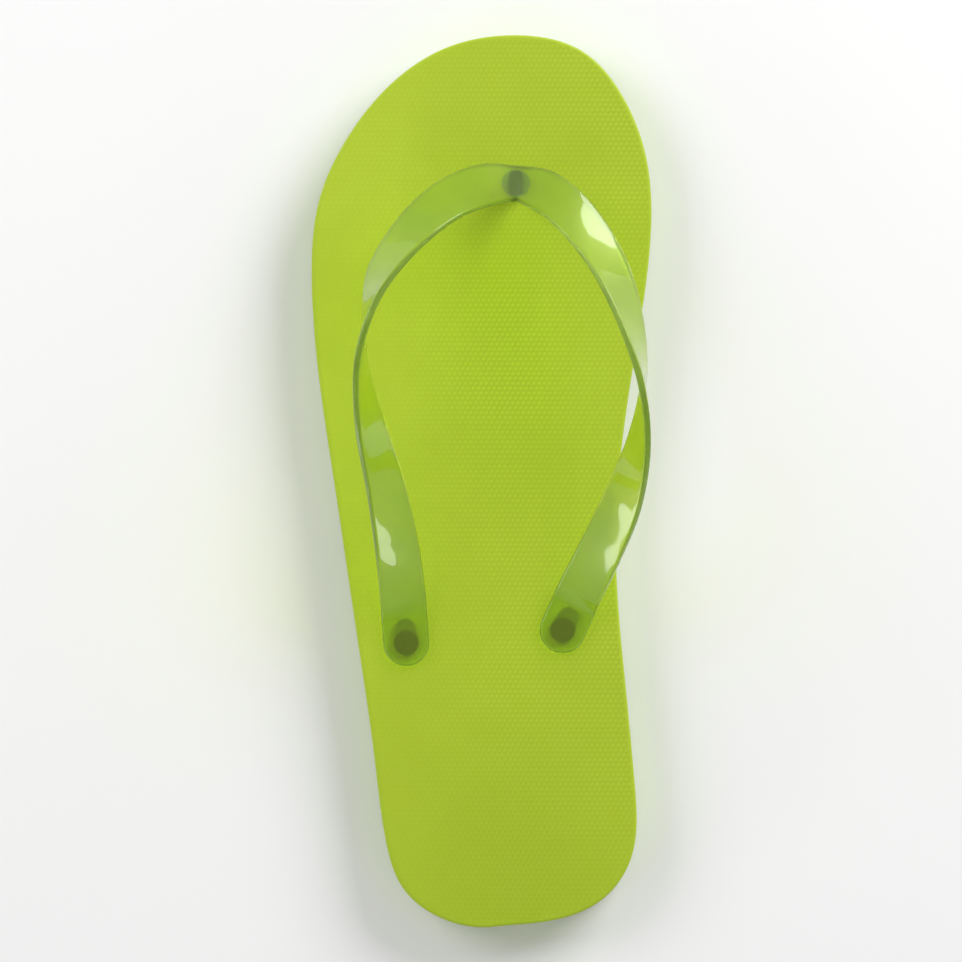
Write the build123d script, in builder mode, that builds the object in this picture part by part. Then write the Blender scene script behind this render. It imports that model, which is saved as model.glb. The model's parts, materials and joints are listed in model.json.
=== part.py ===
"""A left-foot flip flop: a laminated three-layer sole, a translucent Y strap and its three plugs.

Frame, in mm: +Y points to the toe, +X to the medial side (the big toe), +Z up, and the outsole rests on
Z = 0. The sole bends across the ball of the foot, so each of its layers is made as a front and a rear half
that meet at the flex line.
"""

import math
import os

from build123d import *

os.makedirs("parts", exist_ok=True)

# ---- sole layers ----
OUTSOLE_H = 3.0
MIDSOLE_H = 9.5
FOOTBED_H = 2.5
MIDSOLE_Z = OUTSOLE_H
FOOTBED_Z = OUTSOLE_H + MIDSOLE_H
TOP_Z = FOOTBED_Z + FOOTBED_H
FLEX_Y = 50.0  # where the sole bends under the ball of the foot
FLEX_GAP = 0.1  # between the front and rear halves of a layer
EDGE_ROUND = 0.8  # rounding of the footbed's and outsole's outer edges
CUTTER_W = 140.0  # wider than the sole
CUTTER_L = 200.0  # longer than either half of it

# Sole outline, (x, y): up the lateral side from the heel, round the toe and down the medial side.
OUTLINE = [
    (4.0, -135.0),
    (-12.0, -132.4),
    (-23.5, -123.5),
    (-28.9, -108.7),
    (-32.2, -84.5),
    (-37.4, -48.1),
    (-44.6, 0.3),
    (-49.2, 32.0),
    (-51.3, 62.0),
    (-49.0, 85.1),
    (-40.8, 103.4),
    (-26.0, 121.4),
    (-12.4, 130.4),
    (9.8, 135.0),
    (30.6, 130.2),
    (43.2, 116.0),
    (50.2, 97.2),
    (51.1, 70.0),
    (47.6, 44.0),
    (42.6, 10.0),
    (41.0, -27.0),
    (43.6, -60.0),
    (46.6, -92.0),
    (45.3, -114.7),
    (37.4, -126.2),
    (22.0, -133.0),
]

# ---- tread: bars of grooves across the outsole, stopping short of its edge ----
TREAD_DEPTH = 1.2
TREAD_GROOVE = 2.4
TREAD_PITCH = 9.0
TREAD_BEND = 14.0  # how far each chevron's point leads its ends
TREAD_INSET = (0.86, 0.94)  # how far the treaded area's outline is drawn in, across and along
TREAD_CLEAR = 3.5  # plain rubber left round each plug disc and along the flex line
TREAD_SMALLEST = 25.0  # mm2: a shorter piece of groove than this is left plain
TREAD_FIRST_Y = -116.0
TREAD_LAST_Y = 118.0

# ---- plug positions ----
TOE_PLUG = (10.5, 89.4)
LATERAL_PLUG = (-22.6, -49.0)
MEDIAL_PLUG = (24.7, -45.1)

# ---- plugs ----
DISC_H = 2.2
DISC_Z = 0.8  # the discs sit a little above the ground
SIDE_DISC_R = 10.5
TOE_DISC_R = 9.0
DISC_ROUND = 0.6
RECESS_CLEAR = 0.6  # round a disc in its recess
SHANK_R = 3.2
SHANK_CLEAR = 0.1
COLLAR_R = 4.3
COLLAR_H = 1.2
BLADE_W = 4.0
BLADE_L = 7.4
BLADE_ROUND = 1.2
HEAD_R = 3.8
LOBE_R = 3.0
LOBE_REACH = 4.4  # from the head's centre to the lobe's, along the strap
HEAD_H = 1.5
SOCKET_CLEAR = 0.15

# ---- strap ----
STRAP_W = 13.9
STRAP_T = 2.2
APEX_W = 11.8  # over the toe post, where the arms meet
STRAP_REST = 0.1  # between the strap ends and the footbed
STRAP_END_Z = TOP_Z + STRAP_REST + STRAP_T / 2
APEX_Z = 33.0
APEX_TILT = 28.0
# Stations of each arm from the toe back: middle x, y, z, then tilt in degrees. The tilt is how far the
# edge that starts on the inside has turned up: 0 is flat, 90 upright, 180 flat with that edge outside.
LATERAL_ARM = [
    (2.3, 89.0, 33.8, 24.0),
    (-7.7, 85.4, 36.0, 22.0),
    (-18.3, 77.3, 39.8, 34.0),
    (-29.5, 62.7, 44.2, 57.0),
    (-33.5, 50.9, 46.6, 80.0),
    (-35.8, 36.0, 47.4, 99.0),
    (-33.4, 17.7, 44.6, 123.0),
    (-28.8, -1.0, 38.4, 141.0),
    (-25.4, -19.5, 29.4, 156.0),
    (-23.7, -34.0, 19.6, 172.0),
]
MEDIAL_ARM = [
    (17.6, 87.6, 33.8, 24.0),
    (24.6, 82.9, 35.8, 22.0),
    (32.2, 74.2, 39.2, 30.0),
    (39.2, 62.6, 43.2, 42.0),
    (45.2, 45.4, 46.8, 63.0),
    (48.2, 29.0, 47.4, 86.0),
    (47.4, 12.4, 45.0, 113.0),
    (43.0, -4.5, 39.4, 141.0),
    (36.4, -20.0, 30.6, 157.0),
    (29.8, -33.6, 19.6, 172.0),
]


def sole_half(plane, front, inset=(1, 1), gap=FLEX_GAP / 2):
    """A sketch of one half of the sole's outline, in front of or behind the flex line.

    inset draws the outline in, across and along, and gap is the distance kept from the flex line.
    """
    side = 1 if front else -1
    with BuildSketch(plane) as half:
        with BuildLine():
            Spline(*[(x * inset[0], y * inset[1]) for x, y in OUTLINE], periodic=True)
        make_face()
        with Locations((0, FLEX_Y + side * (CUTTER_L / 2 + gap))):
            Rectangle(CUTTER_W, CUTTER_L, mode=Mode.INTERSECT)
    return half.sketch


def plug_points(front):
    """The plugs that pass through one half of the sole, as (centre, disc radius)."""
    if front:
        return [(TOE_PLUG, TOE_DISC_R)]
    return [(LATERAL_PLUG, SIDE_DISC_R), (MEDIAL_PLUG, SIDE_DISC_R)]


def outer_edges(solid, at_top):
    """The curved edge of a sole half's top or bottom face, leaving out its plug holes."""
    curved = solid.edges().filter_by(GeomType.BSPLINE)
    return curved.group_by(Axis.Z)[-1 if at_top else 0]


def cut_shank_holes(plane, front, depth):
    """Holes for the plug shanks through one layer. Call inside that layer's BuildPart."""
    with BuildSketch(plane) as holes:
        with Locations(*[centre for centre, _ in plug_points(front)]):
            Circle(SHANK_R + SHANK_CLEAR)
    extrude(holes.sketch, amount=depth, mode=Mode.SUBTRACT)


def chevron(y):
    """One groove's outline across the sole, with its point at y. Call inside a BuildSketch."""
    half = CUTTER_W / 2
    Polygon(
        (-half, y - TREAD_BEND),
        (-half, y - TREAD_BEND - TREAD_GROOVE),
        (0, y - TREAD_GROOVE),
        (half, y - TREAD_BEND - TREAD_GROOVE),
        (half, y - TREAD_BEND),
        (0, y),
        align=None,
    )


def cut_tread(front):
    """Chevron grooves in the outsole's underside. Call inside the outsole half's BuildPart."""
    count = int((TREAD_LAST_Y - TREAD_FIRST_Y) / TREAD_PITCH) + 1
    with BuildSketch() as grooves:
        add(sole_half(Plane.XY, front, TREAD_INSET, TREAD_CLEAR))
        with BuildSketch(mode=Mode.INTERSECT):
            for i in range(count):
                chevron(TREAD_FIRST_Y + i * TREAD_PITCH)
        for centre, disc_r in plug_points(front):
            with Locations(centre):
                Circle(disc_r + TREAD_CLEAR, mode=Mode.SUBTRACT)
    whole = [groove for groove in grooves.sketch.faces() if groove.area > TREAD_SMALLEST]
    extrude(whole, amount=TREAD_DEPTH, dir=(0, 0, 1), mode=Mode.SUBTRACT)


def make_outsole(front):
    """The treaded bottom layer, with an opening round each plug disc."""
    with BuildPart() as outsole:
        extrude(sole_half(Plane.XY, front), amount=OUTSOLE_H)
        fillet(outer_edges(outsole, at_top=False), EDGE_ROUND)
        with BuildSketch():
            for centre, disc_r in plug_points(front):
                with Locations(centre):
                    Circle(disc_r + RECESS_CLEAR)
        extrude(amount=OUTSOLE_H, mode=Mode.SUBTRACT)
        cut_tread(front)
    return outsole.part


def make_midsole(front):
    """The thick foam layer, with a hole for each shank."""
    plane = Plane.XY.offset(MIDSOLE_Z)
    with BuildPart() as midsole:
        extrude(sole_half(plane, front), amount=MIDSOLE_H)
        cut_shank_holes(plane, front, MIDSOLE_H)
    return midsole.part


def make_footbed(front):
    """The top sheet that the foot stands on."""
    plane = Plane.XY.offset(FOOTBED_Z)
    with BuildPart() as footbed:
        extrude(sole_half(plane, front), amount=FOOTBED_H)
        fillet(outer_edges(footbed, at_top=True), EDGE_ROUND)
        cut_shank_holes(plane, front, FOOTBED_H)
    return footbed.part


def toward_strap(plug, arm):
    """Unit direction, in plan, from a side plug along the strap arm that it holds."""
    dx = arm[-1][0] - plug[0]
    dy = arm[-1][1] - plug[1]
    length = math.hypot(dx, dy)
    return dx / length, dy / length


def keyhole(plug, arm, grow):
    """A head outline: a circle on the plug and a smaller lobe along the strap. Call inside a BuildSketch."""
    ux, uy = toward_strap(plug, arm)
    with Locations(plug):
        Circle(HEAD_R + grow)
    with Locations((plug[0] + LOBE_REACH * ux, plug[1] + LOBE_REACH * uy)):
        Circle(LOBE_R + grow)
    make_hull()


def disc_and_shank(centre, disc_r):
    """The part of a plug below the footbed's top. Call inside the plug's BuildPart."""
    with BuildSketch(Plane.XY.offset(DISC_Z)) as disc:
        with Locations(centre):
            Circle(disc_r)
    extrude(disc.sketch, amount=DISC_H)
    with BuildSketch(Plane.XY.offset(DISC_Z + DISC_H)) as shank:
        with Locations(centre):
            Circle(SHANK_R)
    extrude(shank.sketch, amount=TOP_Z - DISC_Z - DISC_H)


def round_disc(plug):
    """Rounds the lower rim of a plug's disc. Call inside the plug's BuildPart."""
    fillet(plug.edges().group_by(Axis.Z)[0], DISC_ROUND)


def make_side_plug(centre, arm):
    """A side plug: disc, shank and the keyhole head that fills the socket in the strap's end."""
    with BuildPart() as plug:
        disc_and_shank(centre, SIDE_DISC_R)
        with BuildSketch(Plane.XY.offset(TOP_Z)):
            keyhole(centre, arm, 0)
        extrude(amount=HEAD_H)
        round_disc(plug)
    return plug.part


def blade_profile(grow):
    """The toe blade from the side, on a plane across X: its top follows the strap's slope and stands
    inside it. Call inside a BuildSketch."""
    y = TOE_PLUG[1]
    half = BLADE_L / 2 + grow
    slope = math.tan(math.radians(APEX_TILT))
    top = APEX_Z + grow
    Polygon(
        (y - half, TOP_Z),
        (y + half, TOP_Z),
        (y + half, top - half * slope),
        (y - half, top + half * slope),
        align=None,
    )


def make_toe_plug():
    """The toe plug: disc, shank, a low collar on the footbed and the flat blade between the toes."""
    with BuildPart() as plug:
        with BuildSketch(Plane.YZ.offset(TOE_PLUG[0])):
            blade_profile(0)
        extrude(amount=BLADE_W / 2, both=True)
        fillet(plug.edges().filter_by(Axis.Z), BLADE_ROUND)
        disc_and_shank(TOE_PLUG, TOE_DISC_R)
        with BuildSketch(Plane.XY.offset(TOP_Z)):
            with Locations(TOE_PLUG):
                Circle(COLLAR_R)
        extrude(amount=COLLAR_H)
        round_disc(plug)
    return plug.part


def arm_stations(arm, plug):
    """A whole arm from the apex to the flat end over its plug, as (middle, tilt, width)."""
    ux, uy = toward_strap(plug, arm)
    edge = STRAP_W / 2
    stations = [(Vector(TOE_PLUG[0], TOE_PLUG[1], APEX_Z), APEX_TILT, APEX_W)]
    stations += [(Vector(x, y, z), tilt, STRAP_W) for x, y, z, tilt in arm]
    end = Vector(plug[0] + edge * ux, plug[1] + edge * uy, STRAP_END_Z)
    stations.append((end, 180.0, STRAP_W))
    return stations


def section_planes(stations, plug, side):
    """A plane across each station: its X runs along the strap's width, towards the edge that starts inside.

    side is 1 for the medial arm, which leaves the apex along +X, and -1 for the lateral arm.
    """
    middles = [middle for middle, _, _ in stations]
    planes = []
    for i, (middle, tilt, _) in enumerate(stations):
        if i == 0:
            along = Vector(side, 0, 0)
        elif i == len(stations) - 1:
            along = Vector(plug[0], plug[1], middle.Z) - middle
        else:
            along = middles[i + 1] - middles[i - 1]
        along = along.normalized()
        inward = Vector(side * along.Y, -side * along.X, 0).normalized()
        lean = math.radians(tilt)
        across = inward * math.cos(lean) + Vector(0, 0, 1) * math.sin(lean)
        across = (across - along * across.dot(along)).normalized()
        planes.append(Plane(origin=middle, x_dir=across, z_dir=along))
    return planes


def add_arm(arm, plug, side):
    """One arm of the strap and its flat round end. Call inside the strap's BuildPart."""
    stations = arm_stations(arm, plug)
    planes = section_planes(stations, plug, side)
    sections = []
    for plane, (_, _, width) in zip(planes, stations):
        with BuildSketch(plane) as section:
            Rectangle(width, STRAP_T)
        sections.append(section.sketch)
    loft(sections)
    end = stations[-1][0]
    with BuildSketch(Plane.XY.offset(TOP_Z + STRAP_REST)) as flat_end:
        with Locations(plug):
            Circle(STRAP_W / 2)
        with BuildLine():
            half = Vector(plug[1] - end.Y, end.X - plug[0], 0)
            Polyline(
                (plug[0] + half.X, plug[1] + half.Y),
                (end.X + half.X, end.Y + half.Y),
                (end.X - half.X, end.Y - half.Y),
                (plug[0] - half.X, plug[1] - half.Y),
                close=True,
            )
        make_face()
    extrude(flat_end.sketch, amount=STRAP_T)


def make_strap():
    """The Y strap: two arms that meet over the toe post, with a socket for each plug's head."""
    with BuildPart() as strap:
        add_arm(LATERAL_ARM, LATERAL_PLUG, -1)
        add_arm(MEDIAL_ARM, MEDIAL_PLUG, 1)
        with BuildSketch(Plane.XY.offset(TOP_Z)):
            keyhole(LATERAL_PLUG, LATERAL_ARM, SOCKET_CLEAR)
        with BuildSketch(Plane.XY.offset(TOP_Z)):
            keyhole(MEDIAL_PLUG, MEDIAL_ARM, SOCKET_CLEAR)
        extrude(amount=HEAD_H + SOCKET_CLEAR, mode=Mode.SUBTRACT)
        with BuildSketch(Plane.YZ.offset(TOE_PLUG[0])):
            blade_profile(SOCKET_CLEAR)
        extrude(amount=BLADE_W / 2 + SOCKET_CLEAR, both=True, mode=Mode.SUBTRACT)
    return strap.part


def save(part, label):
    """Writes one finished piece as its own STEP file."""
    part.label = label
    export_step(part, f"parts/{label}.step")


for is_front, half_name in ((True, "front"), (False, "rear")):
    save(make_outsole(is_front), f"outsole_{half_name}")
    save(make_midsole(is_front), f"midsole_{half_name}")
    save(make_footbed(is_front), f"footbed_{half_name}")
save(make_toe_plug(), "toe_plug")
save(make_side_plug(LATERAL_PLUG, LATERAL_ARM), "lateral_plug")
save(make_side_plug(MEDIAL_PLUG, MEDIAL_ARM), "medial_plug")
save(make_strap(), "strap")
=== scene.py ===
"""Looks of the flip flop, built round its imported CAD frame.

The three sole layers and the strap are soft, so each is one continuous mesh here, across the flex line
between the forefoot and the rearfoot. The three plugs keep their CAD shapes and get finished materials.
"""

import json
import math

import bmesh
import bpy
import numpy as np
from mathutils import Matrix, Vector
from mathutils.geometry import delaunay_2d_cdt


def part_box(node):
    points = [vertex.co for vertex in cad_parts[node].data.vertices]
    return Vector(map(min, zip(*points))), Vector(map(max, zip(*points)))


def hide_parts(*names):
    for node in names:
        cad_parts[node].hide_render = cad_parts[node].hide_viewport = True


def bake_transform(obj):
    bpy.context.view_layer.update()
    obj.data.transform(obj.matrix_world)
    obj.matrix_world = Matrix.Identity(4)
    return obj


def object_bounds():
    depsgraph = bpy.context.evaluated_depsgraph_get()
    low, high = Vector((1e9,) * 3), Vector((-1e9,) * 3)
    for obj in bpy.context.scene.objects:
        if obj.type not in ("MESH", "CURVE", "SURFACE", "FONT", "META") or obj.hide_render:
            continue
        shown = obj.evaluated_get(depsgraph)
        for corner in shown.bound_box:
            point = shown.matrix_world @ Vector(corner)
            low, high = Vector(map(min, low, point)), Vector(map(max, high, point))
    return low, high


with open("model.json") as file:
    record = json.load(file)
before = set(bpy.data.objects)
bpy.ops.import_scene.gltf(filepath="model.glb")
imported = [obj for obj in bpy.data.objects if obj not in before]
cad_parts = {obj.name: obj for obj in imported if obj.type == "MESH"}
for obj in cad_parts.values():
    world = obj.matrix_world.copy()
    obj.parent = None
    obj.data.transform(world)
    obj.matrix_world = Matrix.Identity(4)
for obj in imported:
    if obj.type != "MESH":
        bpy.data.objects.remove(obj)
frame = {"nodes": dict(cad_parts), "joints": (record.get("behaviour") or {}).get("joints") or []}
cad_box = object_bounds()

MM = 0.001

# ---- where things are, from the frame ----
joint = frame["joints"][0]
FLEX_Y = joint["pos_m"][1]
BED_LOW, BED_TOP = (corner.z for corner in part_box("footbed_front"))
# The midsole and outsole are cut into rows of faces over these lengths ahead of and behind the flex line.
# Ahead is kept short, because what bends ahead of the line turns down towards the floor.
FLEX_AHEAD = 14 * MM
FLEX_BEHIND = 26 * MM
FLEX_STRIPS = 20  # rows of faces that the bend is cut into


def plug_axis(node, disc_top=3.0 * MM):
    """Plan position of a plug's axis, from the vertices of its disc."""
    low = [v.co for v in frame["nodes"][node].data.vertices if v.co.z < disc_top]
    xs = [c.x for c in low]
    ys = [c.y for c in low]
    return Vector(((min(xs) + max(xs)) / 2, (min(ys) + max(ys)) / 2))


TOE = plug_axis("toe_plug")
LATERAL = plug_axis("lateral_plug")
MEDIAL = plug_axis("medial_plug")
PLUG_AXES = (TOE, LATERAL, MEDIAL)
HOLE_R = 3.3 * MM
HEEL_SHADE_CENTRE = Vector((4 * MM, -122 * MM))  # centre of the painted shade that darkens the footbed towards the heel


# ======================================================================================
# Mesh helpers
# ======================================================================================


def new_object(name, verts, faces):
    """A smooth-shaded object from vertex and face lists."""
    mesh = bpy.data.meshes.new(name)
    mesh.from_pydata(verts, [], faces)
    mesh.validate()
    mesh.shade_smooth()
    obj = bpy.data.objects.new(name, mesh)
    bpy.context.scene.collection.objects.link(obj)
    return obj


def mark_sharp(mesh, angle_deg, keep_smooth=None):
    """Marks edges sharper than an angle, apart from those that keep_smooth(edge) leaves smooth."""
    bm = bmesh.new()
    bm.from_mesh(mesh)
    limit = math.radians(angle_deg)
    for edge in bm.edges:
        if len(edge.link_faces) == 2 and edge.calc_face_angle(0) > limit:
            if keep_smooth is None or not keep_smooth(edge):
                edge.smooth = False
    bm.to_mesh(mesh)
    bm.free()


LEVEL = 0.9999  # a face whose normal is at least this upright counts as level


def mark_flat_borders(mesh):
    """Marks the borders of level faces, so that rounded edges don't shade them."""
    bm = bmesh.new()
    bm.from_mesh(mesh)
    bm.normal_update()
    for edge in bm.edges:
        if sum(abs(face.normal.z) > LEVEL for face in edge.link_faces) == 1:
            edge.smooth = False
    bm.to_mesh(mesh)
    bm.free()


def smooth_loop(points, spacing):
    """A closed loop through the given plan points, resampled evenly along a Catmull-Rom curve."""
    pts = np.asarray(points, float)
    before, after, later = np.roll(pts, 1, 0), np.roll(pts, -1, 0), np.roll(pts, -2, 0)
    fine = []
    steps = 12
    for k in range(steps):
        u = k / steps
        fine.append(
            0.5
            * (
                2 * pts
                + (after - before) * u
                + (2 * before - 5 * pts + 4 * after - later) * u * u
                + (3 * pts - before - 3 * after + later) * u**3
            )
        )
    fine = np.stack(fine, 1).reshape(-1, 2)
    closed = np.vstack([fine, fine[:1]])
    length = np.r_[0, np.cumsum(np.linalg.norm(np.diff(closed, axis=0), axis=1))]
    count = int(length[-1] / spacing)
    at = np.arange(count) * length[-1] / count
    return np.c_[np.interp(at, length, closed[:, 0]), np.interp(at, length, closed[:, 1])]


def loop_normals(loop):
    """Outward unit normals of an anticlockwise closed loop."""
    along = np.roll(loop, -1, 0) - np.roll(loop, 1, 0)
    along /= np.linalg.norm(along, axis=1)[:, None]
    return np.c_[along[:, 1], -along[:, 0]]


CHUNK = 4000  # points measured at a time, to save memory


def signed_distance(points, loop, normals):
    """Distance of plan points outside a smooth closed loop, negative inside."""
    out = np.empty(len(points))
    for start in range(0, len(points), CHUNK):
        part = points[start : start + CHUNK]
        gap = part[:, None] - loop[None]
        nearest = (gap**2).sum(2).argmin(1)
        rows = np.arange(len(part))
        out[start : start + CHUNK] = (gap[rows, nearest] * normals[nearest]).sum(1)
    return out


def circle(centre, radius, count=40):
    """Plan points round a circle, anticlockwise."""
    t = np.arange(count) * 2 * np.pi / count
    return np.c_[centre[0] + radius * np.cos(t), centre[1] + radius * np.sin(t)]


def ring_edges(loops, first=0):
    """Index pairs round each of several closed loops, whose points follow one another from first on."""
    edges = []
    for loop in loops:
        count = len(loop)
        edges += [(first + i, first + (i + 1) % count) for i in range(count)]
        first += count
    return edges


SLIVER = 1e-14  # in square metres, twice the area of a triangle too thin to keep


def triangulate(points, edges, keep):
    """Anticlockwise triangles between plan points that hold to given edges.

    keep takes the triangles' centres and says which stay.
    """
    got = delaunay_2d_cdt([Vector(p) for p in points], edges, [], 0, 1e-9)
    source = [ids[0] if ids else -1 for ids in got[3]]
    tris = np.array([[source[i] for i in f] for f in got[2] if len(f) == 3])
    tris = tris[(tris >= 0).all(1)]
    corners = points[tris]
    a, b = corners[:, 1] - corners[:, 0], corners[:, 2] - corners[:, 0]
    area = a[:, 0] * b[:, 1] - a[:, 1] * b[:, 0]
    tris[area < 0] = tris[area < 0][:, ::-1]
    tris = tris[np.abs(area) > SLIVER]
    return tris[keep(points[tris].mean(1))]


# ======================================================================================
# Sole
# ======================================================================================

SOLE_MIDDLE_X = 4 * MM
HOLE_REACH = 5 * MM  # the CAD footbed's points this close to a plug's axis belong to its hole
SPLIT_REACH = 0.2 * MM  # and those this close to the flex line to the split between its halves
LEAST_APART = 0.3 * MM
OUTLINE_SPACING = 0.7 * MM


def sole_outline():
    """The sole's outline in plan, anticlockwise, from the lower edge of the CAD footbed."""
    found = []
    for node in ("footbed_front", "footbed_rear"):
        for v in frame["nodes"][node].data.vertices:
            off_holes = all((v.co.xy - p).length > HOLE_REACH for p in PLUG_AXES)
            if v.co.z < BED_LOW + 0.1 * MM and off_holes:
                found.append((v.co.x, v.co.y))
    pts = np.unique(np.round(np.array(found), 6), axis=0)
    pts = pts[np.abs(pts[:, 1] - FLEX_Y) > SPLIT_REACH]
    pts = pts[np.argsort(np.arctan2(pts[:, 1], pts[:, 0] - SOLE_MIDDLE_X))]
    apart = np.linalg.norm(pts - np.roll(pts, 1, 0), axis=1) > LEAST_APART
    return smooth_loop(pts[apart], OUTLINE_SPACING)


OUTLINE = sole_outline()
OUTLINE_N = loop_normals(OUTLINE)

DOT_PITCH = 1.60 * MM
ROW_PITCH = 1.48 * MM
DOT_H = 0.30 * MM
FAINT = 0.45  # how much of their height the dots keep on the lateral side
FAINT_X, CRISP_X = -38 * MM, 12 * MM  # across the sole, they grow from faint to full between these
LATTICE_MARGIN = 0.3 * MM  # plain foam between the dots and the rim or a hole
EDGE_R = 0.8 * MM  # rounding of the footbed's upper edge
EDGE_STEPS = 5
UNDERSIDE_SPREAD = 4 * MM  # between the points inside the footbed's flat underside
UNDERSIDE_MARGIN = 1 * MM  # and from them to the rim or a hole


def dot_height(x, y):
    """Embossing at a plan point, 0 in the valleys to 1 on a dot, on a hexagonal lattice."""
    u = 2 * np.pi * x / DOT_PITCH
    v = np.pi * y / ROW_PITCH
    waves = (np.cos(2 * v) + 2 * np.cos(u) * np.cos(v)) / 3
    return np.clip((waves + 0.5) / 1.5, 0, 1) ** 0.9


def relief_height(x, y):
    """Embossing, lower on the lateral side and a little patchy; the footbed's painted valley shade follows
    it.
    """
    across = np.clip((x - FAINT_X) / (CRISP_X - FAINT_X), 0, 1)
    crisp = FAINT + (1 - FAINT) * across * across * (3 - 2 * across)
    patches = 0.88 + 0.12 * np.sin(x * 61 + 1.3) * np.sin(y * 37)
    return 1 - (1 - dot_height(x, y)) * crisp * patches


def off_sole(points, loop=OUTLINE, margin=0.0):
    """Which plan points lie outside a loop or in a plug hole, or within a margin of either."""
    far = signed_distance(points, loop, OUTLINE_N) > -margin
    for p in PLUG_AXES:
        far |= np.linalg.norm(points - np.array(p), axis=1) < HOLE_R + margin
    return far


def lattice(inner):
    """The embossing's grid inside a loop, clear of the rim and the holes.

    Returns its plan points, its four-sided cells, and a test for the places that no cell covers.
    """
    step_x, step_y = DOT_PITCH / 4, ROW_PITCH / 2
    low, high = OUTLINE.min(0), OUTLINE.max(0)
    ii = np.arange(math.floor(low[0] / step_x), math.ceil(high[0] / step_x) + 1)
    jj = np.arange(math.floor(low[1] / step_y), math.ceil(high[1] / step_y) + 1)
    gx, gy = np.meshgrid(ii * step_x, jj * step_y)
    grid = np.c_[gx.ravel(), gy.ravel()]
    good = ~off_sole(grid, inner, LATTICE_MARGIN).reshape(gx.shape)
    full = good[:-1, :-1] & good[1:, :-1] & good[:-1, 1:] & good[1:, 1:]
    number = np.arange(grid.shape[0]).reshape(gx.shape)
    corners = [number[:-1, :-1], number[:-1, 1:], number[1:, 1:], number[1:, :-1]]
    cells = np.stack(corners, -1)[full]

    def uncovered(centres):
        col = np.floor(centres[:, 0] / step_x).astype(int) - ii[0]
        row = np.floor(centres[:, 1] / step_y).astype(int) - jj[0]
        col = col.clip(0, full.shape[1] - 1)
        row = row.clip(0, full.shape[0] - 1)
        return ~full[row, col]

    return grid, cells, uncovered


def border_sides(cells):
    """The sides of cells that only one cell has: the stepped border of the lattice."""
    sides = np.concatenate([cells[:, [k, (k + 1) % 4]] for k in range(4)])
    _, back, times = np.unique(np.sort(sides, 1), axis=0, return_inverse=True, return_counts=True)
    return sides[times[back.ravel()] == 1]


class Shell:
    """A mesh that is built up from closed loops of points."""

    def __init__(self, verts, faces):
        self.verts = verts
        self.faces = faces

    def loop(self, points, level):
        """Adds plan points at a height and returns their indices."""
        first = len(self.verts)
        self.verts.extend((x, y, level) for x, y in points)
        return list(range(first, len(self.verts)))

    def wall(self, top, bottom):
        """Joins a loop to one of the same length below it, with faces that look outwards."""
        count = len(top)
        for i in range(count):
            k = (i + 1) % count
            self.faces.append([top[i], bottom[i], bottom[k], top[k]])

    def bore(self, top, bottom):
        """The same for a hole, with faces that look at its axis."""
        count = len(top)
        for i in range(count):
            k = (i + 1) % count
            self.faces.append([top[k], bottom[k], bottom[i], top[i]])

    def fill(self, ids, triangles):
        """Adds triangles that count their corners along a list of indices."""
        self.faces += [[ids[k] for k in t] for t in triangles]


def build_footbed():
    """The embossed top sheet: a lattice of dots, a rounded rim, the wall, plug holes and the underside."""
    inner = OUTLINE - OUTLINE_N * EDGE_R
    holes = [circle(p, HOLE_R) for p in PLUG_AXES]
    grid, cells, uncovered = lattice(inner)

    # the embossed top
    used = np.unique(cells)
    place = {g: k for k, g in enumerate(used)}
    height = relief_height(grid[used, 0], grid[used, 1])
    z = BED_TOP - DOT_H * (1 - height)
    shell = Shell([(*grid[g], h) for g, h in zip(used, z)], [[place[g] for g in c] for c in cells])

    # the plain band between the dots and the rim or the holes
    plain = BED_TOP - DOT_H / 2
    rim = shell.loop(inner, plain)
    hole_tops = [shell.loop(h, plain) for h in holes]
    border = border_sides(cells)
    border_ids = np.unique(border)
    local = {g: k for k, g in enumerate(border_ids)}
    edges = [(local[a], local[b]) for a, b in border] + ring_edges([inner, *holes], len(border_ids))
    band = triangulate(
        np.vstack([grid[border_ids], inner, *holes]),
        edges,
        lambda centres: uncovered(centres) & ~off_sole(centres, inner),
    )
    shell.fill(sum(hole_tops, [place[g] for g in border_ids] + rim), band)

    # the rounded rim and the wall
    above = rim
    for k in range(1, EDGE_STEPS + 1):
        turn = math.pi / 2 * k / EDGE_STEPS
        level = plain - (plain - (BED_TOP - EDGE_R)) * (1 - math.cos(turn))
        below = shell.loop(inner + OUTLINE_N * EDGE_R * math.sin(turn), level)
        shell.wall(above, below)
        above = below
    base = shell.loop(OUTLINE, BED_LOW)
    shell.wall(above, base)

    # the holes and the underside
    hole_bases = [shell.loop(h, BED_LOW) for h in holes]
    for top, bottom in zip(hole_tops, hole_bases):
        shell.bore(top, bottom)
    low, high = OUTLINE.min(0), OUTLINE.max(0)
    sx, sy = np.meshgrid(
        np.arange(low[0], high[0], UNDERSIDE_SPREAD),
        np.arange(low[1], high[1], UNDERSIDE_SPREAD),
    )
    inside = np.c_[sx.ravel(), sy.ravel()]
    inside = inside[~off_sole(inside, inner, UNDERSIDE_MARGIN)]
    under = triangulate(
        np.vstack([OUTLINE, *holes, inside]),
        ring_edges([OUTLINE, *holes]),
        lambda centres: ~off_sole(centres),
    )
    shell.fill(sum(hole_bases, base) + shell.loop(inside, BED_LOW), under[:, ::-1])

    obj = new_object("footbed", shell.verts, shell.faces)
    # the relief also sets the painted shade between the dots
    relief = np.full(len(obj.data.vertices), 0.5, np.float32)
    relief[: len(height)] = height
    obj.data.attributes.new("relief", "FLOAT", "POINT").data.foreach_set("value", relief)
    mark_sharp(obj.data, BED_CREASE, lambda e: min(v.co.z for v in e.verts) > BED_LOW + 1e-6)
    return obj


SEAM_REACH = 0.06 * MM  # the halves' end faces lie this close to the flex line
SEAM_WELD = 0.05 * MM
GAP_WELD = 0.1 * MM
BED_CREASE = 50  # degrees between two faces, above which their edge is sharp
LAYER_CREASE = 35


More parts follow.
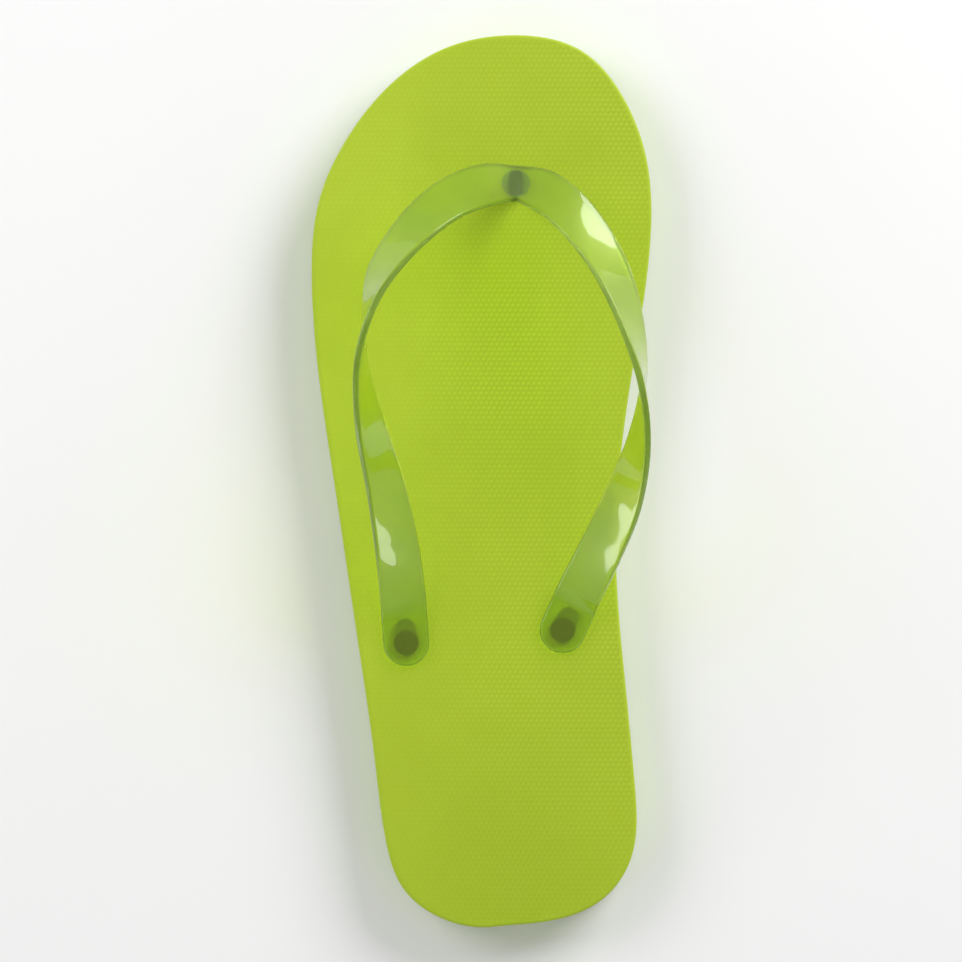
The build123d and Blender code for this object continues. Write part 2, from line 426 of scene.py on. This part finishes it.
def build_layer(name, nodes):
    """One mesh from a layer's front and rear CAD halves, joined at the flex line and cut into rows across
    it.
    """
    bm = bmesh.new()
    for node in nodes:
        bm.from_mesh(frame["nodes"][node].data)
    bmesh.ops.remove_doubles(bm, verts=bm.verts, dist=1e-6)
    ends = [f for f in bm.faces if all(abs(v.co.y - FLEX_Y) < SEAM_REACH for v in f.verts)]
    bmesh.ops.delete(bm, geom=ends, context="FACES")
    line = [v for v in bm.verts if abs(v.co.y - FLEX_Y) < SEAM_REACH]
    for v in line:
        v.co.y = FLEX_Y
    bmesh.ops.remove_doubles(bm, verts=line, dist=SEAM_WELD)
    # the halves' roundings don't meet point for point, which leaves a few hairline gaps
    bm.verts.index_update()  # the welds below go by these numbers, so they come out the same each time
    gaps = {v for e in bm.edges if e.is_boundary for v in e.verts}
    bmesh.ops.remove_doubles(bm, verts=sorted(gaps, key=lambda v: v.index), dist=GAP_WELD)
    for k in range(FLEX_STRIPS + 1):
        bmesh.ops.bisect_plane(
            bm,
            geom=bm.verts[:] + bm.edges[:] + bm.faces[:],
            dist=1e-7,
            plane_co=(0, FLEX_Y + FLEX_AHEAD - k / FLEX_STRIPS * (FLEX_AHEAD + FLEX_BEHIND), 0),
            plane_no=(0, 1, 0),
        )
    bmesh.ops.recalc_face_normals(bm, faces=bm.faces)
    mesh = bpy.data.meshes.new(name)
    bm.to_mesh(mesh)
    bm.free()
    mesh.materials.clear()
    mesh.shade_smooth()
    mark_sharp(mesh, LAYER_CREASE)
    mark_flat_borders(mesh)
    obj = bpy.data.objects.new(name, mesh)
    bpy.context.scene.collection.objects.link(obj)
    return obj


# ======================================================================================
# Strap
# ======================================================================================

STRAP_W = 13.9 * MM
STRAP_T = 2.2 * MM
STRAP_ROUND = 0.8 * MM
STRAP_REST = 0.1 * MM  # keeps the flat ends clear of the footbed
FLAT_STEPS = 5  # faces across half of a flat side of the section
ROUND_STEPS = 6  # faces round a quarter turn of its edge
END_STEPS = 24  # faces round a flat end
END_MIDDLE_Z = BED_TOP + STRAP_REST + STRAP_T / 2
# Stations of each arm in mm and degrees, from the toe back: the strap's middle x, y and height, and how
# far the edge that starts on the inside has turned up.
APEX = (10.5, 89.4, 33.0, 28.0)
APEX_W = 11.8 * MM
LATERAL_ARM = [
    (2.3, 89.0, 33.8, 24.0),
    (-7.7, 85.4, 36.0, 22.0),
    (-18.3, 77.3, 39.8, 34.0),
    (-29.5, 62.7, 44.2, 57.0),
    (-33.5, 50.9, 46.6, 80.0),
    (-35.8, 36.0, 47.4, 99.0),
    (-33.4, 17.7, 44.6, 123.0),
    (-28.8, -1.0, 38.4, 141.0),
    (-25.4, -19.5, 29.4, 156.0),
    (-23.7, -34.0, 19.6, 172.0),
]
MEDIAL_ARM = [
    (17.6, 87.6, 33.8, 24.0),
    (24.6, 82.9, 35.8, 22.0),
    (32.2, 74.2, 39.2, 30.0),
    (39.2, 62.6, 43.2, 42.0),
    (45.2, 45.4, 46.8, 63.0),
    (48.2, 29.0, 47.4, 86.0),
    (47.4, 12.4, 45.0, 113.0),
    (43.0, -4.5, 39.4, 141.0),
    (36.4, -20.0, 30.6, 157.0),
    (29.8, -33.6, 19.6, 172.0),
]
ARM_STEPS = 12  # cross-sections between two stations
EASE_SPAN = 11  # cross-sections that an arm takes to level out


def arm_edges(arm, plug, side):
    """The two edge lines of one arm, from the apex to the middle of its plug, as station points."""
    last = np.array(arm[-1][:3]) * MM
    flat = np.array([last[0] - plug.x, last[1] - plug.y])
    flat /= np.linalg.norm(flat)
    middles = [np.array(APEX[:3]) * MM]
    middles += [np.array(s[:3]) * MM for s in arm]
    tilts = [APEX[3]] + [s[3] for s in arm]
    widths = [APEX_W] + [STRAP_W] * len(arm)
    for reach in (0.55 * STRAP_W, 0.0):  # the flat end, where it begins and over the plug
        middles.append(np.array([plug.x + flat[0] * reach, plug.y + flat[1] * reach, END_MIDDLE_Z]))
        tilts.append(180.0)
        widths.append(STRAP_W)
    ones, twos = [], []
    for i, (middle, tilt, width) in enumerate(zip(middles, tilts, widths)):
        if i == 0:
            along = np.array([side, 0.0, 0.0])
        elif i >= len(middles) - 2:
            along = np.array([-flat[0], -flat[1], 0.0])
        else:
            along = middles[i + 1] - middles[i - 1]
        along /= np.linalg.norm(along)
        inward = np.array([side * along[1], -side * along[0], 0.0])
        inward /= np.linalg.norm(inward)
        lean = math.radians(tilt)
        across = inward * math.cos(lean) + np.array([0, 0, 1]) * math.sin(lean)
        across -= along * across.dot(along)
        across /= np.linalg.norm(across)
        ones.append(middle + across * width / 2)
        twos.append(middle - across * width / 2)
    return np.array(ones), np.array(twos)


def curve_through(points, steps, lead_in=None):
    """Points along a centripetal Catmull-Rom curve, with steps between neighbouring stations.

    lead_in is the point before the first one; without it, the curve leaves its first point straight.
    """
    pts = np.asarray(points, float)
    first = 2 * pts[0] - pts[1] if lead_in is None else lead_in
    pts = np.vstack([first, pts, 2 * pts[-1] - pts[-2]])
    knots = np.r_[0, np.cumsum(np.linalg.norm(np.diff(pts, axis=0), axis=1) ** 0.5 + 1e-9)]
    out = []
    for i in range(1, len(pts) - 2):
        t0, t1, t2, t3 = knots[i - 1 : i + 3]
        p0, p1, p2, p3 = pts[i - 1 : i + 3]
        for k in range(steps):
            t = t1 + (t2 - t1) * k / steps
            a1 = (t1 - t) / (t1 - t0) * p0 + (t - t0) / (t1 - t0) * p1
            a2 = (t2 - t) / (t2 - t1) * p1 + (t - t1) / (t2 - t1) * p2
            a3 = (t3 - t) / (t3 - t2) * p2 + (t - t2) / (t3 - t2) * p3
            b1 = (t2 - t) / (t2 - t0) * a1 + (t - t0) / (t2 - t0) * a2
            b2 = (t3 - t) / (t3 - t1) * a2 + (t - t1) / (t3 - t1) * a3
            out.append((t2 - t) / (t2 - t1) * b1 + (t - t1) / (t2 - t1) * b2)
    out.append(pts[-2])
    return np.array(out)


def strap_profile(half_width):
    """Half of the strap's cross-section, as (distance from the middle, height).

    It runs from the middle of the top round the edge to the middle of the underside.
    """
    r = STRAP_ROUND
    half_t = STRAP_T / 2
    flat = half_width - r
    turns = [math.pi / 2 * k / ROUND_STEPS for k in range(ROUND_STEPS + 1)]
    pts = [(flat * k / FLAT_STEPS, half_t) for k in range(FLAT_STEPS)]
    pts += [(flat + r * math.sin(t), half_t - r + r * math.cos(t)) for t in turns]
    pts += [(flat + r * math.cos(t), -half_t + r - r * math.sin(t)) for t in turns]
    pts += [(flat * k / FLAT_STEPS, -half_t) for k in reversed(range(FLAT_STEPS))]
    return pts


def rim_weights():
    """How far each point of the half section has turned round the rim, 0 on the flats to 1 outermost."""
    flat = STRAP_W / 2 - STRAP_ROUND
    return [max(0.0, (d - flat) / STRAP_ROUND) for d, _ in strap_profile(STRAP_W / 2)]


def build_strap():
    """The whole Y strap as one closed mesh: two arms swept from the apex and a round flat end on each."""
    lat_one, lat_two = arm_edges(LATERAL_ARM, LATERAL, -1)
    med_one, med_two = arm_edges(MEDIAL_ARM, MEDIAL, 1)
    # the inner edge comes to a point at the apex; the outer edge runs through it
    lat_one, med_one = curve_through(lat_one, ARM_STEPS), curve_through(med_one, ARM_STEPS)
    lat_two, med_two = (
        curve_through(lat_two, ARM_STEPS, med_two[1]),
        curve_through(med_two, ARM_STEPS, lat_two[1]),
    )
    one = np.vstack([lat_one[::-1], med_one[1:]])
    two = np.vstack([lat_two[::-1], med_two[1:]])
    # the arms ease onto their flat ends and never go below them
    ease = np.hanning(EASE_SPAN + 2)[1:-1]
    ease /= ease.sum()
    for edge in (one, two):
        lifted = np.maximum(edge[:, 2], END_MIDDLE_Z)
        edge[:, 2] = np.convolve(np.pad(lifted, EASE_SPAN // 2, "edge"), ease, "valid")
    middle = (one + two) / 2
    along = np.gradient(middle, axis=0)
    across = one - two
    width = np.linalg.norm(across, axis=1)
    across /= width[:, None]
    normal = np.cross(along, across)
    normal /= np.linalg.norm(normal, axis=1)[:, None]
    normal[0] *= np.sign(normal[0][2])
    verts, rings, rim = [], [], []
    section_rim = rim_weights()
    facing = normal[0]
    for m, a, n, w in zip(middle, across, normal, width):
        if n.dot(facing) < 0:
            n = -n
        facing = n
        profile = strap_profile(w / 2)
        ring = [len(verts) + k for k in range(2 * len(profile) - 2)]
        right = [m + a * d + n * h for d, h in profile]
        left = [m - a * d + n * h for d, h in profile[-2:0:-1]]
        verts += [tuple(p) for p in right + left]
        rim += section_rim + section_rim[-2:0:-1]
        rings.append(ring)
    faces = []
    count = len(rings[0])
    for a, b in zip(rings, rings[1:]):
        for k in range(count):
            j = (k + 1) % count
            faces.append([a[k], a[j], b[j], b[k]])
    half = count // 2
    for ring, at in ((rings[0], 0), (rings[-1], len(middle) - 1)):
        faces += round_end(verts, rim, ring, half, middle[at], across[at])
    obj = new_object("strap_skin", verts, faces)
    obj.data.attributes.new("rim", "FLOAT", "POINT").data.foreach_set("value", np.array(rim, np.float32))
    bm = bmesh.new()
    bm.from_mesh(obj.data)
    bmesh.ops.recalc_face_normals(bm, faces=bm.faces)
    bm.to_mesh(obj.data)
    bm.free()
    return obj


def round_end(verts, rim, ring, half, middle, across):
    """Turns half of the end section round the plug's axis, from its inner edge to its outer one."""
    right = ring[: half + 1]
    left = [ring[0]] + ring[: half - 1 : -1]
    profile = strap_profile(STRAP_W / 2)
    section_rim = rim_weights()
    up = np.array([0.0, 0.0, 1.0])
    out = np.cross(up, across)
    out = out * np.sign(-out[1])
    faces = []
    before = right
    for k in range(1, END_STEPS + 1):
        if k == END_STEPS:
            here = left
        else:
            turn = math.pi * k / END_STEPS
            direction = across * math.cos(turn) + out * math.sin(turn)
            here = [right[0]]
            rim += section_rim[1:-1]
            for d, h in profile[1:-1]:
                here.append(len(verts))
                verts.append(tuple(middle + direction * d + up * h))
            here.append(right[-1])
        for a, b, c, d in zip(before, before[1:], here[1:], here):
            corners = []
            for v in (a, b, c, d):
                if v not in corners:
                    corners.append(v)
            if len(corners) > 2:
                faces.append(corners)
        before = here
    return faces


# ======================================================================================
# Materials
# ======================================================================================


def linear(r, g, b):
    """Linear colour from 0 to 255 display values."""

    def one(c):
        c /= 255
        return c / 12.92 if c <= 0.04045 else ((c + 0.055) / 1.055) ** 2.4

    return (one(r), one(g), one(b), 1.0)


LIME = linear(182, 207, 44)
LIME_DEEP = linear(174, 199, 38)
# painted shade: the footbed's colour between the dots and towards the heel
LIME_SHADE = linear(163, 188, 29)
MIDSOLE = linear(164, 190, 56)
MIDSOLE_DEEP = linear(150, 177, 46)
OUTSOLE = linear(136, 166, 46)
OUTSOLE_DEEP = linear(122, 152, 40)
STRAP_BODY = linear(178, 205, 32)
STRAP_BODY_PALE = linear(188, 213, 38)
STRAP_ROOT = linear(132, 176, 104)  # the pale ring round the toe plug's blade
# painted shade along the strap's rounded edges, for the dark line that light reflected inside the edge
# makes
STRAP_RIM_SHADE = linear(116, 142, 74)
STRAP_SHADOW = (0.90, 0.94, 0.62, 1.0)
PLUG_DARK = linear(6, 40, 22)
PLUG_LIGHT = linear(12, 50, 28)
PLUG_LOBE = linear(84, 116, 58)
PORES_PER_METRE = 750


class Nodes:
    """A small helper to build a material's node tree."""

    def __init__(self, name):
        self.material = bpy.data.materials.new(name)
        self.material.use_nodes = True
        self.tree = self.material.node_tree
        self.tree.nodes.clear()
        self.output = self.add("ShaderNodeOutputMaterial")

    def add(self, kind, **settings):
        """A new node with some of its settings."""
        node = self.tree.nodes.new(kind)
        for key, value in settings.items():
            setattr(node, key, value)
        return node

    def shader(self, kind, **inputs):
        """A shader node with some of its inputs set, named as in Blender with _ for each space."""
        node = self.add(kind)
        for key, value in inputs.items():
            node.inputs[key.replace("_", " ")].default_value = value
        return node

    def link(self, source, target):
        """Feeds an output into an input."""
        self.tree.links.new(source, target)

    def finish(self, shader):
        """Puts a shader on the surface and returns the material."""
        self.link(shader.outputs[0], self.output.inputs["Surface"])
        return self.material

    def noise(self, scale, detail=4.0, rough=0.5):
        """Noise in object space, with scale in cycles per metre."""
        coords = self.add("ShaderNodeTexCoord")
        node = self.add("ShaderNodeTexNoise")
        node.inputs["Scale"].default_value = scale
        node.inputs["Detail"].default_value = detail
        node.inputs["Roughness"].default_value = rough
        self.link(coords.outputs["Object"], node.inputs["Vector"])
        return node.outputs["Fac"]

    def plan_distance(self, centre):
        """Distance in plan from an upright axis, in object space."""
        coords = self.add("ShaderNodeTexCoord")
        away = self.add("ShaderNodeVectorMath", operation="SUBTRACT")
        self.link(coords.outputs["Object"], away.inputs[0])
        away.inputs[1].default_value = (centre.x, centre.y, 0)
        flat = self.add("ShaderNodeVectorMath", operation="MULTIPLY")
        self.link(away.outputs["Vector"], flat.inputs[0])
        flat.inputs[1].default_value = (1, 1, 0)
        length = self.add("ShaderNodeVectorMath", operation="LENGTH")
        self.link(flat.outputs["Vector"], length.inputs[0])
        return length.outputs["Value"]

    def height(self):
        """Height in object space."""
        coords = self.add("ShaderNodeTexCoord")
        parts = self.add("ShaderNodeSeparateXYZ")
        self.link(coords.outputs["Object"], parts.inputs["Vector"])
        return parts.outputs["Z"]

    def span(self, source, low, high, to_low, to_high):
        """Maps a range of a value to another, clamped."""
        node = self.add("ShaderNodeMapRange")
        for key, value in zip(("From Min", "From Max", "To Min", "To Max"), (low, high, to_low, to_high)):
            node.inputs[key].default_value = value
        self.link(source, node.inputs["Value"])
        return node.outputs["Result"]

    def mix(self, factor, a, b):
        """A colour between a and b. Each of a and b is a colour or a socket."""
        node = self.add("ShaderNodeMix", data_type="RGBA")
        self.link(factor, node.inputs["Factor"])
        for key, value in (("A", a), ("B", b)):
            socket = [s for s in node.inputs if s.name == key and s.type == "RGBA"][0]
            if isinstance(value, tuple):
                socket.default_value = value
            else:
                self.link(value, socket)
        return [s for s in node.outputs if s.type == "RGBA"][0]

    def bump(self, height, strength, distance, normal=None):
        """A normal tilted by a height, over the surface's own normal or another."""
        node = self.add("ShaderNodeBump")
        node.inputs["Strength"].default_value = strength
        node.inputs["Distance"].default_value = distance
        self.link(height, node.inputs["Height"])
        if normal is not None:
            self.link(normal, node.inputs["Normal"])
        return node.outputs["Normal"]


def foam_material(name, base, deep, grain, pores, shade_colour=None):
    """Closed-cell foam: faint colour drift, a fine grain and small pores.

    grain and pores are the strengths of their bumps. The last argument is painted shade, for a mesh that
    carries its relief: the colour between the embossed dots, and towards the heel.
    """
    m = Nodes(name)
    foam = m.shader(
        "ShaderNodeBsdfPrincipled", Sheen_Weight=0.08, Sheen_Roughness=0.5, Specular_IOR_Level=0.4
    )
    blotch = m.span(m.noise(28, 3), 0.35, 0.65, 0.0, 1.0)
    colour = m.mix(blotch, deep, base)
    colour = m.mix(m.span(m.noise(900, 2), 0.3, 0.7, 0.0, 0.12), colour, deep)
    if shade_colour is not None:
        # painted shade in the valleys between the dots, deepest where the relief is lowest
        relief = m.add("ShaderNodeAttribute", attribute_name="relief")
        colour = m.mix(m.span(relief.outputs["Fac"], 0.0, 0.8, 0.0, 1.0), shade_colour, colour)
        # painted shade that darkens the footbed towards the heel
        heel_shade = m.span(m.plan_distance(HEEL_SHADE_CENTRE), 15 * MM, 60 * MM, 0.7, 0.0)
        colour = m.mix(heel_shade, colour, shade_colour)
    m.link(colour, foam.inputs["Base Color"])
    m.link(m.span(m.noise(140, 3), 0.3, 0.7, 0.50, 0.66), foam.inputs["Roughness"])
    normal = m.bump(m.noise(2600, 2), grain, 0.1 * MM)
    coords = m.add("ShaderNodeTexCoord")
    cells = m.add("ShaderNodeTexVoronoi")
    cells.inputs["Scale"].default_value = PORES_PER_METRE
    m.link(coords.outputs["Object"], cells.inputs["Vector"])
    normal = m.bump(m.span(cells.outputs["Distance"], 0.0, 0.35, 0.0, 1.0), pores, 0.15 * MM, normal)
    m.link(normal, foam.inputs["Normal"])
    return m.finish(foam)


def strap_material():
    """Lime soft plastic: the body lets light through blurred, under a sharp glossy surface."""
    m = Nodes("translucent_strap")
    body = m.shader(
        "ShaderNodeBsdfPrincipled",
        Transmission_Weight=0.80,
        Specular_IOR_Level=0.15,
        IOR=1.42,
        Roughness=0.30,
    )
    drift = m.span(m.noise(60, 2), 0.35, 0.65, 0.0, 1.0)
    colour = m.mix(drift, STRAP_BODY, STRAP_BODY_PALE)
    root = m.span(m.plan_distance(TOE), 4.1 * MM, 4.5 * MM, 0.45, 0.0)
    colour = m.mix(root, colour, STRAP_ROOT)
    rim = m.add("ShaderNodeAttribute", attribute_name="rim").outputs["Fac"]
    # painted shade: the colour darkens round the rim
    colour = m.mix(m.span(rim, 0.3, 0.9, 0.0, 0.75), colour, STRAP_RIM_SHADE)
    m.link(colour, body.inputs["Base Color"])
    m.link(m.span(rim, 0.0, 0.6, 1.0, 0.35), body.inputs["Coat Weight"])
    m.link(m.span(m.noise(40, 1), 0.3, 0.7, 0.03, 0.07), body.inputs["Coat Roughness"])
    m.link(m.bump(m.noise(62, 1), 0.9, 0.4 * MM), body.inputs["Coat Normal"])
    # light passes straight through to cast a pale green shadow
    clear = m.shader("ShaderNodeBsdfTransparent", Color=STRAP_SHADOW)
    path = m.add("ShaderNodeLightPath")
    blend = m.add("ShaderNodeMixShader")
    m.link(path.outputs["Is Shadow Ray"], blend.inputs["Fac"])
    m.link(body.outputs["BSDF"], blend.inputs[1])
    m.link(clear.outputs["BSDF"], blend.inputs[2])
    return m.finish(blend)


def plug_material(name, centre):
    """Dark green moulded plastic with a soft gloss, lighter on the thin lobe beyond the round head."""
    m = Nodes(name)
    plastic = m.add("ShaderNodeBsdfPrincipled")
    tone = m.span(m.noise(260, 3), 0.35, 0.65, 0.0, 1.0)
    colour = m.mix(tone, PLUG_DARK, PLUG_LIGHT)
    lobe = m.span(m.plan_distance(centre), 3.5 * MM, 4.2 * MM, 0.0, 1.0)
    head = m.mix(lobe, colour, PLUG_LOBE)
    colour = m.mix(m.span(m.height(), BED_TOP - 0.2 * MM, BED_TOP, 0.0, 1.0), colour, head)
    m.link(colour, plastic.inputs["Base Color"])
    m.link(m.span(m.noise(700, 2), 0.3, 0.7, 0.32, 0.48), plastic.inputs["Roughness"])
    m.link(m.bump(m.noise(1200, 2), 0.15, 0.1 * MM), plastic.inputs["Normal"])
    return m.finish(plastic)


def floor_material():
    """Plain pale floor."""
    m = Nodes("pale_floor")
    pale = (0.97, 0.97, 0.97, 1)
    return m.finish(
        m.shader("ShaderNodeBsdfPrincipled", Base_Color=pale, Roughness=0.8, Specular_IOR_Level=0.1)
    )


footbed = build_footbed()
midsole = build_layer("midsole", ["midsole_front", "midsole_rear"])
outsole = build_layer("outsole", ["outsole_front", "outsole_rear"])
strap = build_strap()

for piece, material in (
    (footbed, foam_material("footbed_foam_look", LIME, LIME_DEEP, 0.25, 0.15, LIME_SHADE)),
    (midsole, foam_material("midsole_foam_look", MIDSOLE, MIDSOLE_DEEP, 0.5, 0.6)),
    (outsole, foam_material("outsole_look", OUTSOLE, OUTSOLE_DEEP, 0.5, 0.3)),
    (strap, strap_material()),
):
    piece.data.materials.append(material)
for node, centre in zip(("toe_plug", "lateral_plug", "medial_plug"), PLUG_AXES):
    look = plug_material(f"{node}_look", centre)
    for slot in frame["nodes"][node].material_slots:
        slot.material = look

# ======================================================================================
# Baked into place, with the CAD parts hidden
# ======================================================================================

POST_REACH = 4.4 * MM  # from the toe plug's axis to just behind its blade
SOLE_BEND = (FLEX_Y + FLEX_AHEAD, FLEX_Y - FLEX_BEHIND)
# The strap's span covers more of its length, from the toe post to just ahead of its flat ends.
STRAP_BEND = (TOE.y - POST_REACH, LATERAL_ARM[-1][1] * MM)
for piece, nodes, slot, (bend_from, bend_to) in (
    (footbed, ["footbed_front", "footbed_rear"], "footbed_foam", SOLE_BEND),
    (midsole, ["midsole_front", "midsole_rear"], "midsole_foam", SOLE_BEND),
    (outsole, ["outsole_front", "outsole_rear"], "outsole_rubber", SOLE_BEND),
    (strap, ["strap"], "strap_pvc", STRAP_BEND),
):
    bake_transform(piece)
    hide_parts(*nodes)

# ======================================================================================
# Stage: floor, lights, camera
# ======================================================================================

FLOOR_GAP = 0.05 * MM  # keeps the floor clear of the tread
FLOOR_SIZE = 8.0
# Each light's name, place, width and height in metres, and power in watts. All look at the origin. The last
# two stand low behind the heel, where they make the highlights on the strap's rear arms.
LIGHTS = (
    ("key", (1.0, 1.05, 0.85), (1.2, 1.0), 21),
    ("fill", (-1.2, 0.7, 1.0), (1.1, 1.1), 10),
    ("heel_medial_gloss", (-1.26, -0.70, 0.23), (0.78, 0.32), 3.2),
    ("heel_lateral_gloss", (1.02, -1.07, 0.31), (0.60, 0.20), 1.3),
)
# The sky is dim overhead, which keeps its mirror image in the strap faint. Each pair is how far up a
# direction looks, from 0 level to 1 straight up, and the sky's strength there.
SKY_LOW = (0.3, 0.64)
SKY_HIGH = (0.95, 0.22)
VIEW_WIDTH = 0.2912  # what the picture's width covers on the footbed
CAMERA_HEIGHT = 2.4  # above the footbed
SENSOR = 36.0  # in mm


def add_floor():
    """A large flat floor just under the sole."""
    h = FLOOR_SIZE / 2
    z = cad_box[0].z - FLOOR_GAP
    floor = new_object("floor", [(-h, -h, z), (h, -h, z), (h, h, z), (-h, h, z)], [[0, 1, 2, 3]])
    floor.data.materials.append(floor_material())


def add_light(name, place, size, power):
    """A soft oval light at place, turned to the origin."""
    data = bpy.data.lights.new(name, "AREA")
    data.shape = "ELLIPSE"
    data.size, data.size_y = size
    data.energy = power
    obj = bpy.data.objects.new(name, data)
    obj.location = place
    obj.rotation_euler = (-Vector(place)).to_track_quat("-Z", "Y").to_euler()
    bpy.context.scene.collection.objects.link(obj)


def add_sky():
    """A white studio surround, brighter towards the horizon."""
    world = bpy.data.worlds.new("studio")
    bpy.context.scene.world = world
    world.use_nodes = True
    tree = world.node_tree
    background = tree.nodes["Background"]
    background.inputs["Color"].default_value = (1.0, 1.0, 1.0, 1)
    coords = tree.nodes.new("ShaderNodeTexCoord")
    parts = tree.nodes.new("ShaderNodeSeparateXYZ")
    ramp = tree.nodes.new("ShaderNodeMapRange")
    ramp.inputs["From Min"].default_value, ramp.inputs["To Min"].default_value = SKY_LOW
    ramp.inputs["From Max"].default_value, ramp.inputs["To Max"].default_value = SKY_HIGH
    tree.links.new(coords.outputs["Generated"], parts.inputs["Vector"])
    tree.links.new(parts.outputs["Z"], ramp.inputs["Value"])
    tree.links.new(ramp.outputs["Result"], background.inputs["Strength"])


def add_camera():
    """A long lens straight above the footbed's origin."""
    data = bpy.data.cameras.new("camera")
    data.sensor_width = SENSOR
    data.lens = SENSOR * CAMERA_HEIGHT / VIEW_WIDTH
    camera = bpy.data.objects.new("camera", data)
    camera.location = (0, 0, BED_TOP + CAMERA_HEIGHT)
    bpy.context.scene.collection.objects.link(camera)
    bpy.context.scene.camera = camera


add_floor()
for light in LIGHTS:
    add_light(*light)
add_sky()
add_camera()
bpy.context.scene.view_settings.view_transform = "Standard"
